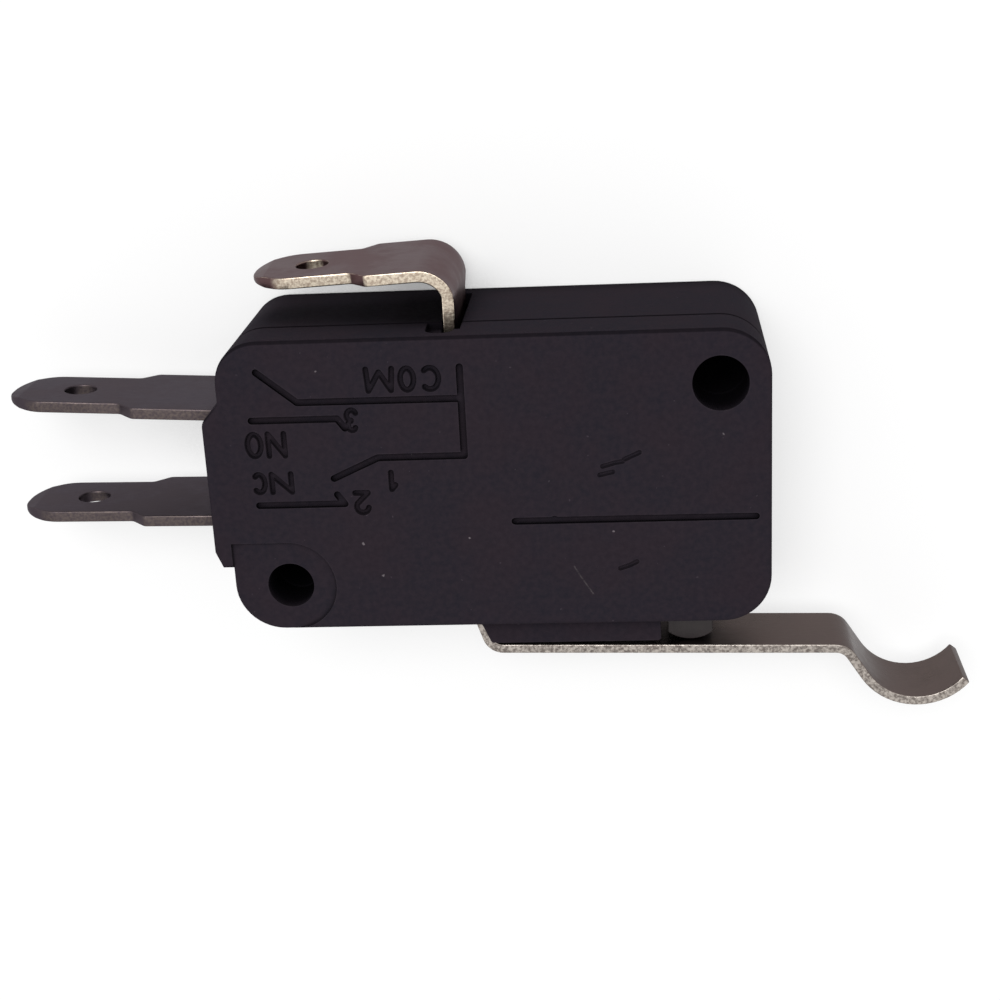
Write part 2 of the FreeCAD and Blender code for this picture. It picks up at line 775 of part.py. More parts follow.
def make_snap_spring():
    """The closed coil as a plain sleeve of its own size, with a straight hook wire at each end."""
    left, right = spring_ends()
    span = right - left
    coil_end = span.Length - spring_hook
    outer = spring_radius + spring_wire
    sleeve = Part.makeCylinder(outer, coil_end - spring_hook, V(0, 0, spring_hook), Z_AXIS)
    bore = Part.makeCylinder(spring_radius - spring_wire, span.Length, V(0, 0, 0), Z_AXIS)
    pieces = []
    for start, along in ((spring_hook + spring_wire, -1), (coil_end - spring_wire, 1)):
        centre = V(0, 0, start)
        pieces.append(Part.makeCylinder(spring_wire, spring_radius, centre, V(1, 0, 0)))
        pieces.append(Part.makeCylinder(spring_wire, spring_hook + spring_wire, centre, V(0, 0, along)))
        pieces.append(Part.makeSphere(spring_wire, centre))
    body = sleeve.cut(bore).fuse(pieces)
    body.rotate(V(0, 0, 0), V(0, 1, 0), 90)
    body.rotate(V(0, 0, 0), Z_AXIS, math.degrees(math.atan2(span.y, span.x)))
    body.translate(left)
    return body


def make_plunger():
    """Square push button with a domed top, a retaining flange and a rounded foot."""
    half = plunger_width / 2
    deep = plunger_depth / 2
    top = lever_face_y(plunger_x) - plunger_clearance
    wing = half + plunger_flange
    flat = top - plunger_dome
    dome = rod(plunger_x, flat, plunger_dome, mid_z - deep, mid_z + deep)
    foot = rod(plunger_x, foot_y + plunger_dome, plunger_dome, mid_z - deep, mid_z + deep)
    shaft = block(plunger_x - half, plunger_x + half, foot_y, top, mid_z - deep, mid_z + deep)
    middle = block(plunger_x - half, plunger_x + half, foot_y + plunger_dome, flat,
                   mid_z - deep, mid_z + deep)
    flange = block(plunger_x - wing, plunger_x + wing, flange_low_y, flange_high_y,
                   mid_z - deep - plunger_flange, mid_z + deep + plunger_flange)
    return shaft.common(dome.fuse([middle, foot])).fuse(flange).removeSplitter()


def lever_tip(start, end):
    """The round tip, a strip bent about the tip's own centre."""
    centre = V(lever_pivot_x - tip_reach, lever_pivot_y + tip_rise, mid_z - lever_width / 2)

    def at(radius, angle):
        x, y = turned(radius, 0, angle)
        return centre + V(x, y, 0)

    outer = tip_radius + lever_sheet / 2
    inner = tip_radius - lever_sheet / 2
    middle = (start + end) / 2
    edges = [
        Part.Arc(at(outer, start), at(outer, middle), at(outer, end)).toShape(),
        Part.LineSegment(at(outer, end), at(inner, end)).toShape(),
        Part.Arc(at(inner, end), at(inner, middle), at(inner, start)).toShape(),
        Part.LineSegment(at(inner, start), at(outer, start)).toShape(),
    ]
    return Part.Face(Part.Wire(edges)).extrude(V(0, 0, lever_width))


def make_lever():
    """One strip: bead, flange, corner, straight run, outward bend and the round tip."""
    run_y = lever_pivot_y + lever_rise + lever_sheet / 2
    lean = math.radians(lever_lean_angle + lever_tilt_angle)
    corner_x = lever_pivot_x - (run_y - lever_pivot_y) * math.tan(lean)
    start = 90 - lever_bend_angle
    dx, dy = turned(tip_radius, 0, start)
    arc_x = lever_pivot_x - tip_reach + dx
    arc_y = lever_pivot_y + tip_rise + dy
    bend_x = arc_x + (arc_y - run_y) / math.tan(math.radians(lever_bend_angle))
    run = bent_strip([
        (lever_pivot_x, lever_pivot_y, 0),
        (corner_x, run_y, lever_corner_radius),
        (bend_x, run_y, lever_bend_radius),
        (arc_x, arc_y, 0),
    ], lever_sheet, lever_width)
    half = lever_width / 2
    bead = rod(lever_pivot_x, lever_pivot_y, lever_bead_radius, mid_z - half, mid_z + half)
    body = run.fuse([lever_tip(start, start + tip_sweep_angle), bead]).removeSplitter()
    body.rotate(V(lever_pivot_x, lever_pivot_y, 0), Z_AXIS, -lever_tilt_angle)
    return body


def save(shape, name):
    shape.exportStep("parts/" + name + ".step")
    print(name, "solids", len(shape.Solids), "valid", shape.isValid(), "volume", round(shape.Volume, 3))


save(make_case(), "case")
save(make_cover(), "cover")
save(make_plunger(), "plunger")
save(make_lever(), "lever")
save(make_common_terminal(), "common_terminal")
save(end_terminal(normally_open_y, open_tab_angle), "normally_open_terminal")
save(end_terminal(normally_closed_y, closed_tab_angle), "normally_closed_terminal")
save(fixed_contact(normally_open_y, 1), "normally_open_contact")
save(fixed_contact(normally_closed_y, -1), "normally_closed_contact")
save(make_contact_arm(), "contact_arm")
save(make_moving_contact(), "moving_contact")
save(make_rocker(), "rocker")
save(make_snap_spring(), "snap_spring")
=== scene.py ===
"""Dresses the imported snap-action micro switch: rounded edges, engraved terminal marks, dents, the
wound spring and the finishes, on a plain pale floor under soft light. Metres; +Z out of the face.
"""
import json
import math

import bmesh
import bpy
from mathutils import Matrix, Vector

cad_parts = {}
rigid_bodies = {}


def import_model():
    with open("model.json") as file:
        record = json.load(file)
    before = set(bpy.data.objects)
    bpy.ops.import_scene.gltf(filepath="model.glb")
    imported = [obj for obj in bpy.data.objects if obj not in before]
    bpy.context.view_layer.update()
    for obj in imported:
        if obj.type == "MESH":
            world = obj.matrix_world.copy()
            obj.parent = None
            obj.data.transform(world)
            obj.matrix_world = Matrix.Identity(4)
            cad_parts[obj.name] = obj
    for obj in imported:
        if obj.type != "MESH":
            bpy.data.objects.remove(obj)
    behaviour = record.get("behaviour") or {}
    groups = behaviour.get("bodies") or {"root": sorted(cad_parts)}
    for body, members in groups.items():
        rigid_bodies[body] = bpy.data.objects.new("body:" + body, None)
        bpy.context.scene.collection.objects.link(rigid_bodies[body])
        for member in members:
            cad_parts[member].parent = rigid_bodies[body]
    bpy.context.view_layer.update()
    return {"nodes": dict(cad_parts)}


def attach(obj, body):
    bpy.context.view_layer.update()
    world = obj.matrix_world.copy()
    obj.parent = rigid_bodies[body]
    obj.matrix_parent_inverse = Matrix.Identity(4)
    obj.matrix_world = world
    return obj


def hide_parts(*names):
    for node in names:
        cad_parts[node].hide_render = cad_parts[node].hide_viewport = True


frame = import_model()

MM = 0.001

# Small edge roundings that the mouldings and stampings have, in millimetres. Those of the front face's
# holes and grooves are crisp, and the parting line's are the widest. Moulded edges under the shortest
# length aren't rounded, because the rounding overshoots where a fillet runs out in short steps.
moulded_edge = 0.07
stamped_edge = 0.07
fine_edge = 0.03
crisp_edge = 0.015
parting_edge = 0.13
shortest_moulded = 0.04
parting_z = 7.4
parting_tolerance = 0.001
front_detail_z = 9.95
sharp_angle = math.radians(28)
flat_angle = math.radians(0.4)

# Engraved terminal marks on the front face, in millimetres
mark_section = [(0, -0.2), (0.06, -0.19), (0.1, -0.16), (0.12, -0.06), (0.155, -0.008), (0.2, 0.06)]
front_z = 10.3
corner_turn = math.radians(38)
end_turns = (90, 70, 50, 25)

# The snap spring's winding, in millimetres
spring_left = (4.25, 5.1, 4.7)
spring_right = (15.99, 5.23, 4.7)
spring_radius = 0.72
spring_wire = 0.11
spring_hook = 1.1
spring_turns = 22

# Lines of sight fitted to the photograph, row frame
camera_place = Vector((3.804, -25.095, 95.27)) * MM
camera_right = Vector((-0.99649, 0.04907, -0.06783))
camera_up = Vector((-0.02286, -0.93891, -0.34341))
camera_back = Vector((-0.08054, -0.34066, 0.93673))
camera_lens = 64.8

# Marks that use has left on the front face: paths in millimetres, and half the section of each cut
dent_section = [(0, -0.12), (0.06, -0.1), (0.11, -0.03), (0.15, 0.03)]
scratch_section = [(0, -0.025), (0.03, -0.01), (0.05, 0.02)]
dents = [[(4.81, 3.81), (4.4, 3.62), (4.05, 3.46)], [(5.9, 4.15), (5.3, 3.98), (4.9, 3.91)],
         [(6.05, 4.6), (5.4, 4.45)], [(5.15, 9.65), (4.7, 9.5), (4.3, 9.3)], [(8.42, 6.84), (8.3, 6.88)]]
scratches = [[(7.49, 9.5), (7.15, 10.1), (6.56, 11.05)]]

# Stem of the common terminal: its two faces, its lower and upper ends and its run outside the wall, then
# how far off a face its corners may stand, and the distance that joins corners drawn together
stem_x = (13.12, 13.72)
stem_z = (1.525, 7.875)
stem_run = (-4.03, -2.9)
stem_step = 0.3
stem_join = 0.02
stem_sliver = 0.0001


def srgb(red, green, blue):
    """A colour written in 0 to 255 as the linear colour a shader takes."""
    levels = []
    for value in (red, green, blue):
        share = value / 255
        levels.append(share / 12.92 if share <= 0.04045 else ((share + 0.055) / 1.055) ** 2.4)
    return (*levels, 1.0)


# Shader building

def add(tree, kind, **settings):
    made = tree.nodes.new(kind)
    for name, value in settings.items():
        setattr(made, name, value)
    return made


def feed(tree, value, socket):
    """Joins a socket to a socket, or sets a plain value on it."""
    if isinstance(value, bpy.types.NodeSocket):
        tree.links.new(value, socket)
    else:
        socket.default_value = value


def maths(tree, operation, *values, clamp=False):
    made = add(tree, "ShaderNodeMath", operation=operation, use_clamp=clamp)
    for socket, value in zip(made.inputs, values):
        feed(tree, value, socket)
    return made.outputs[0]


def vector_maths(tree, operation, *values):
    made = add(tree, "ShaderNodeVectorMath", operation=operation)
    for socket, value in zip(made.inputs, values):
        feed(tree, value, socket)
    return made.outputs["Value" if operation in ("DOT_PRODUCT", "LENGTH", "DISTANCE") else "Vector"]


def ramp(tree, value, low, high, to_low=0.0, to_high=1.0):
    """Maps a value from low..high to to_low..to_high, held at both ends."""
    made = add(tree, "ShaderNodeMapRange", interpolation_type="SMOOTHSTEP")
    for socket, item in zip(made.inputs, (value, low, high, to_low, to_high)):
        feed(tree, item, socket)
    return made.outputs["Result"]


def blend_colours(tree, share, first, second):
    made = add(tree, "ShaderNodeMix", data_type="RGBA")
    feed(tree, share, made.inputs["Factor"])
    feed(tree, first, made.inputs[6])
    feed(tree, second, made.inputs[7])
    return made.outputs[2]


def noise(tree, place, scale, detail=3.0, roughness=0.55):
    made = add(tree, "ShaderNodeTexNoise")
    feed(tree, place, made.inputs["Vector"])
    feed(tree, scale, made.inputs["Scale"])
    made.inputs["Detail"].default_value = detail
    made.inputs["Roughness"].default_value = roughness
    return made.outputs["Factor"] if "Factor" in made.outputs else made.outputs["Fac"]


def new_group(name, inputs, outputs):
    """A node group with named sockets; returns the tree, its input node and its output node."""
    tree = bpy.data.node_groups.new(name, "ShaderNodeTree")
    for label, kind, default in inputs:
        socket = tree.interface.new_socket(label, in_out="INPUT", socket_type="NodeSocket" + kind)
        if default is not None:
            socket.default_value = default
    for label, kind in outputs:
        tree.interface.new_socket(label, in_out="OUTPUT", socket_type="NodeSocket" + kind)
    return tree, add(tree, "NodeGroupInput"), add(tree, "NodeGroupOutput")


def make_grain_group():
    """Fine surface grain: an even fine noise over a coarser one."""
    tree, given, out = new_group("surface_grain", [
        ("Place", "Vector", None), ("Grain Per Millimetre", "Float", 8.0), ("Coarse Share", "Float", 0.5),
    ], [("Height", "Float")])
    fine = noise(tree, given.outputs["Place"], given.outputs["Grain Per Millimetre"], 2.0)
    coarse_scale = maths(tree, "MULTIPLY", given.outputs["Grain Per Millimetre"], 0.22)
    coarse = noise(tree, given.outputs["Place"], coarse_scale, 3.0)
    coarse = maths(tree, "MULTIPLY", coarse, given.outputs["Coarse Share"])
    feed(tree, maths(tree, "ADD", fine, coarse), out.inputs["Height"])
    return tree


def make_mottle_group():
    """Slow cloudy variation over a surface, 0 to 1."""
    tree, given, out = new_group("cloudy_mottle", [
        ("Place", "Vector", None), ("Clouds Per Millimetre", "Float", 0.25), ("Contrast", "Float", 0.3),
    ], [("Value", "Float")])
    clouds = noise(tree, given.outputs["Place"], given.outputs["Clouds Per Millimetre"], 4.0, 0.6)
    half = maths(tree, "MULTIPLY", given.outputs["Contrast"], 0.5)
    low = maths(tree, "SUBTRACT", 0.5, half)
    high = maths(tree, "ADD", 0.5, half)
    feed(tree, ramp(tree, clouds, low, high), out.inputs["Value"])
    return tree


def make_edge_group():
    """Where a surface turns over an edge, broken up by noise: 1 on the edge, 0 on flats. It serves both edge
    wear and painted edge highlights.
    """
    tree, given, out = new_group("edge_wear_and_sheen", [
        ("Place", "Vector", None), ("Edge Width", "Float", 0.0001), ("Break Up Per Millimetre", "Float", 1.5),
        ("Amount", "Float", 1.0),
    ], [("Mask", "Float")])
    rounded = add(tree, "ShaderNodeBevel", samples=6)
    feed(tree, given.outputs["Edge Width"], rounded.inputs["Radius"])
    surface = add(tree, "ShaderNodeNewGeometry")
    along = vector_maths(tree, "DOT_PRODUCT", rounded.outputs["Normal"], surface.outputs["Normal"])
    turned = ramp(tree, along, 0.99, 0.88)
    patches = noise(tree, given.outputs["Place"], given.outputs["Break Up Per Millimetre"], 4.0, 0.65)
    patches = ramp(tree, patches, 0.35, 0.65)
    mask = maths(tree, "MULTIPLY", turned, patches)
    mask = maths(tree, "MULTIPLY", mask, given.outputs["Amount"], clamp=True)
    feed(tree, mask, out.inputs["Mask"])
    return tree


def make_recess_group():
    """Painted shade where a surface is closed in, as in a hole or a groove: 1 deep inside, 0 in the open."""
    tree, given, out = new_group("recess_painted_shade", [("Reach", "Float", 0.003), ("Amount", "Float", 1.0)],
                                 [("Mask", "Float")])
    open_share = add(tree, "ShaderNodeAmbientOcclusion", samples=8)
    feed(tree, given.outputs["Reach"], open_share.inputs["Distance"])
    closed = ramp(tree, open_share.outputs["AO"], 0.9, 0.3)
    feed(tree, maths(tree, "MULTIPLY", closed, given.outputs["Amount"]), out.inputs["Mask"])
    return tree


def make_dust_group():
    """Sparse small specks of lint and dust."""
    tree, given, out = new_group("dust_specks", [
        ("Place", "Vector", None), ("Cells Per Millimetre", "Float", 1.2), ("Speck Size", "Float", 0.07),
        ("Share Of Cells", "Float", 0.25),
    ], [("Mask", "Float")])
    shake = add(tree, "ShaderNodeTexNoise")
    feed(tree, given.outputs["Place"], shake.inputs["Vector"])
    shake.inputs["Scale"].default_value = 6.0
    bent = vector_maths(tree, "SCALE", shake.outputs["Color"])
    bent.node.inputs["Scale"].default_value = 0.18
    place = vector_maths(tree, "ADD", given.outputs["Place"], bent)
    cells = add(tree, "ShaderNodeTexVoronoi", feature="F1")
    feed(tree, place, cells.inputs["Vector"])
    feed(tree, given.outputs["Cells Per Millimetre"], cells.inputs["Scale"])
    channels = add(tree, "ShaderNodeSeparateColor")
    feed(tree, cells.outputs["Color"], channels.inputs["Color"])
    chosen = maths(tree, "LESS_THAN", channels.outputs[0], given.outputs["Share Of Cells"])
    size = maths(tree, "MULTIPLY", given.outputs["Speck Size"], channels.outputs[1])
    soft = maths(tree, "MULTIPLY", size, 0.5)
    speck = ramp(tree, cells.outputs["Distance"], size, soft)
    feed(tree, maths(tree, "MULTIPLY", speck, chosen), out.inputs["Mask"])
    return tree


grain_group = make_grain_group()
mottle_group = make_mottle_group()
edge_group = make_edge_group()
recess_shade_group = make_recess_group()
dust_group = make_dust_group()


def use_group(tree, group, **values):
    """Places a group; a value's name is its socket's, with underscores for spaces."""
    made = add(tree, "ShaderNodeGroup", node_tree=group)
    for label, value in values.items():
        feed(tree, value, made.inputs[label.replace("_", " ")])
    return made.outputs[0]


def new_material(name):
    """A material with its Principled shader and the place in millimetres on the object."""
    material = bpy.data.materials.new(name)
    material.use_nodes = True
    tree = material.node_tree
    shader = tree.nodes["Principled BSDF"]
    place = add(tree, "ShaderNodeTexCoord")
    scaled = add(tree, "ShaderNodeMapping")
    scaled.inputs["Scale"].default_value = (1 / MM,) * 3
    feed(tree, place.outputs["Object"], scaled.inputs["Vector"])
    return material, tree, shader, scaled.outputs["Vector"]


def bump(tree, shader, height, depth):
    made = add(tree, "ShaderNodeBump")
    made.inputs["Distance"].default_value = depth
    made.inputs["Strength"].default_value = 1.0
    feed(tree, height, made.inputs["Height"])
    feed(tree, made.outputs["Normal"], shader.inputs["Normal"])


def make_moulding_material(name, scuffs):
    """Near-black thermoset with a faint purple cast, cloudy, speckled, dull and paler where it is scuffed,
    with painted shade in its recesses, along the parting line and on the edges that lean towards -Y, and
    edges lighter from wear and painted highlight."""
    material, tree, shader, place = new_material(name)
    clouds = use_group(tree, mottle_group, Place=place, Clouds_Per_Millimetre=0.3, Contrast=0.4)
    fine = use_group(tree, mottle_group, Place=place, Clouds_Per_Millimetre=3.2, Contrast=0.5)
    specks = use_group(tree, dust_group, Place=place, Cells_Per_Millimetre=1.1, Speck_Size=0.12,
                       Share_Of_Cells=0.16)
    lint = use_group(tree, dust_group, Place=place, Cells_Per_Millimetre=3.0, Speck_Size=0.2,
                     Share_Of_Cells=0.12)
    # Paler edges: part wear, part painted highlight
    wear_and_sheen = use_group(tree, edge_group, Place=place, Edge_Width=0.12 * MM, Amount=0.4)
    # Painted shade in the holes and grooves
    recess_shade = use_group(tree, recess_shade_group, Reach=3 * MM, Amount=0.9)
    # Painted shade along the parting line: darker within 0.16 mm of its height
    height = add(tree, "ShaderNodeSeparateXYZ")
    feed(tree, place, height.inputs["Vector"])
    off_seam = maths(tree, "ABSOLUTE", maths(tree, "SUBTRACT", height.outputs["Z"], parting_z))
    seam_shade = ramp(tree, off_seam, 0.16, 0.08, 0.0, 0.85)
    # Painted shade on the rounded edges that lean towards -Y
    surface = add(tree, "ShaderNodeNewGeometry")
    facing = add(tree, "ShaderNodeSeparateXYZ")
    feed(tree, surface.outputs["Normal"], facing.inputs["Vector"])
    turned = ramp(tree, maths(tree, "ABSOLUTE", facing.outputs["Z"]), 0.1, 0.3)
    turned_edge_shade = maths(tree, "MULTIPLY", turned, ramp(tree, facing.outputs["Y"], -0.25, -0.55, 0.0, 0.6))
    colour = blend_colours(tree, clouds, srgb(37, 35, 42), srgb(42, 36, 42))
    colour = blend_colours(tree, maths(tree, "MULTIPLY", fine, 0.6), colour, srgb(50, 43, 49))
    colour = blend_colours(tree, wear_and_sheen, colour, srgb(66, 60, 66))
    if scuffs:
        scuffed = ramp(tree, fine, 0, 1, 0.2 * scuffs, scuffs)
        colour = blend_colours(tree, scuffed, colour, srgb(96, 90, 92))
    colour = blend_colours(tree, maths(tree, "MULTIPLY", lint, 0.3), colour, srgb(88, 80, 88))
    colour = blend_colours(tree, maths(tree, "MULTIPLY", specks, 0.6), colour, srgb(132, 124, 128))
    # The painted shades of the recesses, the parting line and the -Y edges darken the colour towards
    # near-black
    dark = maths(tree, "MAXIMUM", maths(tree, "MAXIMUM", recess_shade, seam_shade), turned_edge_shade)
    colour = blend_colours(tree, dark, colour, srgb(10, 9, 12))
    feed(tree, colour, shader.inputs["Base Color"])
    feed(tree, ramp(tree, fine, 0, 1, 0.5, 0.62), shader.inputs["Roughness"])
    shader.inputs["Specular IOR Level"].default_value = 0.0015
    grain = use_group(tree, grain_group, Place=place, Grain_Per_Millimetre=9.0, Coarse_Share=0.6)
    bump(tree, shader, grain, 0.008 * MM)
    return material


def make_button_material():
    """Dark grey-brown nylon of the push button, paler along all its edges."""
    material, tree, shader, place = new_material("button_nylon")
    fine = use_group(tree, mottle_group, Place=place, Clouds_Per_Millimetre=0.9, Contrast=0.5)
    wear_and_sheen = use_group(tree, edge_group, Place=place, Edge_Width=0.1 * MM, Amount=0.6)
    colour = blend_colours(tree, fine, srgb(43, 38, 39), srgb(53, 48, 48))
    colour = blend_colours(tree, wear_and_sheen, colour, srgb(86, 80, 80))
    feed(tree, colour, shader.inputs["Base Color"])
    feed(tree, ramp(tree, fine, 0, 1, 0.42, 0.55), shader.inputs["Roughness"])
    shader.inputs["Specular IOR Level"].default_value = 0.25
    grain = use_group(tree, grain_group, Place=place, Grain_Per_Millimetre=12.0, Coarse_Share=0.4)
    bump(tree, shader, grain, 0.005 * MM)
    return material


def make_sheet_metal(name, dark, light, cut, cut_dark, cut_share, edge_tint, edge_shine,
                     rough_low, rough_high):
    """Plated sheet: cloudy dull faces, grainy sheared edges where the face looks along Z, a painted highlight
    along its edges and painted shade in its holes.
    """
    material, tree, shader, place = new_material(name)
    shader.inputs["Metallic"].default_value = 1.0
    shader.inputs["Specular Tint"].default_value = edge_tint
    clouds = use_group(tree, mottle_group, Place=place, Clouds_Per_Millimetre=0.35, Contrast=0.45)
    fine = use_group(tree, mottle_group, Place=place, Clouds_Per_Millimetre=3.0, Contrast=0.5)
    colour = blend_colours(tree, clouds, dark, light)
    colour = blend_colours(tree, maths(tree, "MULTIPLY", fine, 0.35), colour, light)
    surface = add(tree, "ShaderNodeNewGeometry")
    axes = add(tree, "ShaderNodeSeparateXYZ")
    feed(tree, surface.outputs["Normal"], axes.inputs["Vector"])
    sheared = ramp(tree, maths(tree, "ABSOLUTE", axes.outputs["Z"]), 0.8, 0.97)
    sheared = maths(tree, "MULTIPLY", sheared, cut_share)
    torn = use_group(tree, mottle_group, Place=place, Clouds_Per_Millimetre=6.5, Contrast=0.3)
    colour = blend_colours(tree, sheared, colour, blend_colours(tree, torn, cut_dark, cut))
    # Painted highlight along the edges, in the cut colour
    wear_and_sheen = use_group(tree, edge_group, Place=place, Edge_Width=0.08 * MM, Amount=edge_shine)
    colour = blend_colours(tree, wear_and_sheen, colour, cut)
    # Painted shade in the holes and recesses, towards a dark brown
    recess_shade = use_group(tree, recess_shade_group, Reach=2 * MM, Amount=0.8)
    colour = blend_colours(tree, recess_shade, colour, srgb(34, 29, 30))
    feed(tree, colour, shader.inputs["Base Color"])
    feed(tree, ramp(tree, clouds, 0, 1, rough_low, rough_high), shader.inputs["Roughness"])
    along = add(tree, "ShaderNodeMapping")
    feed(tree, place, along.inputs["Vector"])
    along.inputs["Scale"].default_value = (0.25, 1.0, 1.0)
    grain = use_group(tree, grain_group, Place=along.outputs["Vector"], Grain_Per_Millimetre=10.0,
                      Coarse_Share=0.8)
    bump(tree, shader, grain, 0.006 * MM)
    return material


def make_plain_metal(name, dark, light, rough_low, rough_high):
    material, tree, shader, place = new_material(name)
    shader.inputs["Metallic"].default_value = 1.0
    clouds = use_group(tree, mottle_group, Place=place, Clouds_Per_Millimetre=1.1, Contrast=0.5)
    feed(tree, blend_colours(tree, clouds, dark, light), shader.inputs["Base Color"])
    feed(tree, ramp(tree, clouds, 0, 1, rough_low, rough_high), shader.inputs["Roughness"])
    grain = use_group(tree, grain_group, Place=place, Grain_Per_Millimetre=14.0, Coarse_Share=0.5)
    bump(tree, shader, grain, 0.004 * MM)
    return material


def make_floor_material():
    """Pale floor that keeps a soft shadow and shows white to the camera, metal and glass; that white dims
    where the floor is closed in, a painted shadow under and beside the switch and in its holes.
    """
    material = bpy.data.materials.new("pale_floor")
    material.use_nodes = True
    tree = material.node_tree
    tree.nodes.remove(tree.nodes["Principled BSDF"])
    out = tree.nodes["Material Output"]
    rays = add(tree, "ShaderNodeLightPath")
    seen = maths(tree, "MAXIMUM", rays.outputs["Is Camera Ray"], rays.outputs["Is Glossy Ray"])
    seen = maths(tree, "MAXIMUM", seen, rays.outputs["Is Transmission Ray"])
    pale = add(tree, "ShaderNodeBsdfDiffuse")
    pale.inputs["Color"].default_value = (0.82, 0.82, 0.82, 1)
    kept = add(tree, "ShaderNodeBsdfDiffuse")
    kept.inputs["Color"].default_value = (0.45, 0.45, 0.45, 1)
    # Painted shadow: the white glow dims where the switch closes the floor in
    covered = add(tree, "ShaderNodeAmbientOcclusion", samples=8)
    covered.inputs["Distance"].default_value = 6 * MM
    glow = add(tree, "ShaderNodeEmission")
    feed(tree, ramp(tree, covered.outputs["AO"], 0.05, 0.5, 0.0, 0.56), glow.inputs["Strength"])
    shown = add(tree, "ShaderNodeAddShader")
    feed(tree, kept.outputs[0], shown.inputs[0])
    feed(tree, glow.outputs[0], shown.inputs[1])
    either = add(tree, "ShaderNodeMixShader")
    feed(tree, seen, either.inputs[0])
    feed(tree, pale.outputs[0], either.inputs[1])
    feed(tree, shown.outputs[0], either.inputs[2])
    feed(tree, either.outputs[0], out.inputs["Surface"])
    return material


moulding = make_moulding_material("black_moulding", 0.0)
scuffed_moulding = make_moulding_material("scuffed_moulding", 0.55)
button_nylon = make_button_material()
end_tab_brass = make_sheet_metal("end_tab_brass", srgb(62, 55, 61), srgb(79, 71, 75), srgb(98, 88, 83),
                                 srgb(74, 66, 68), 0.7, (0.56, 0.55, 0.57, 1.0), 0.45, 0.34, 0.5)
common_brass = make_sheet_metal("common_brass", srgb(84, 63, 64), srgb(97, 75, 76), srgb(222, 210, 190),
                                srgb(168, 152, 136), 0.9, (0.67, 0.66, 0.67, 1.0), 0.7, 0.3, 0.45)
lever_steel = make_sheet_metal("lever_steel", srgb(82, 72, 69), srgb(96, 84, 81), srgb(186, 178, 170),
                               srgb(112, 104, 99), 0.95, (0.63, 0.62, 0.62, 1.0), 0.9, 0.26, 0.4)
silver = make_plain_metal("contact_silver", srgb(196, 192, 186), srgb(222, 218, 212), 0.2, 0.34)
spring_copper = make_plain_metal("spring_copper", srgb(176, 112, 72), srgb(204, 140, 96), 0.22, 0.36)
spring_steel = make_plain_metal("spring_steel", srgb(150, 150, 152), srgb(184, 184, 186), 0.2, 0.3)


# Shapes

def merged_copy(node):
    """A CAD node's mesh in millimetres, its loose triangles joined and its flat faces made whole."""
    shape = bmesh.new()
    shape.from_mesh(frame["nodes"][node].data)
    bmesh.ops.remove_doubles(shape, verts=shape.verts, dist=1e-7)
    bmesh.ops.scale(shape, vec=(1 / MM,) * 3, verts=shape.verts)
    join_flats(shape)
    return shape


def join_flats(shape):
    bmesh.ops.dissolve_limit(shape, angle_limit=flat_angle, verts=shape.verts, edges=shape.edges,
                             use_dissolve_boundaries=False)


def mark_edges(shape, edge, moulded=False):
    """Marks the sharp edges for rounding, with each one's share of the widest radius."""
    to_round = shape.edges.layers.float.new("bevel_weight_edge")
    for side in shape.edges:
        if moulded and side.calc_length() < shortest_moulded:
            continue
        if side.calc_face_angle(0.0) > sharp_angle:
            radius = edge
            if moulded and all(abs(end.co.z - parting_z) < parting_tolerance for end in side.verts):
                radius = parting_edge
            if moulded and all(end.co.z > front_detail_z for end in side.verts):
                radius = crisp_edge
            side[to_round] = radius / parting_edge


def new_object(name, shape, material):
    mesh = bpy.data.meshes.new(name)
    shape.to_mesh(mesh)
    shape.free()
    mesh.materials.append(material)
    made = bpy.data.objects.new(name, mesh)
    bpy.context.scene.collection.objects.link(made)
    return made


def settle(made):
    """Turns what a piece's modifiers make into its own mesh."""
    bpy.context.view_layer.update()
    mesh = bpy.data.meshes.new_from_object(made.evaluated_get(bpy.context.evaluated_depsgraph_get()))
    made.modifiers.clear()
    made.data = mesh
    return mesh


def soften(made):
    """Rounds the marked edges, goes from millimetres to metres and smooths what is round."""
    rounding = made.modifiers.new("small_edge_rounding", "BEVEL")
    rounding.width = parting_edge
    rounding.segments = 2
    rounding.limit_method = "WEIGHT"
    rounding.use_clamp_overlap = False
    rounding.loop_slide = False
    mesh = settle(made)
    mesh.transform(Matrix.Scale(MM, 4))
    for face in mesh.polygons:
        face.use_smooth = True
    mesh.set_sharp_from_angle(angle=sharp_angle)
    evening = made.modifiers.new("even_flats", "WEIGHTED_NORMAL")
    evening.keep_sharp = True
    evening.weight = 80


def stand_for(made, node, body):
    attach(made, body)
    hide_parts(node)


def dress(node, name, body, material, edge, moulded=False):
    shape = merged_copy(node)
    mark_edges(shape, edge, moulded)
    made = new_object(name, shape, material)
    soften(made)
    stand_for(made, node, body)
    return made


# Strokes of each mark in a box one wide and one high
def arc_points(centre, radius, start, end, steps=10):
    return [(centre[0] + radius[0] * math.cos(math.radians(start + (end - start) * k / steps)),
             centre[1] + radius[1] * math.sin(math.radians(start + (end - start) * k / steps)))
            for k in range(steps + 1)]


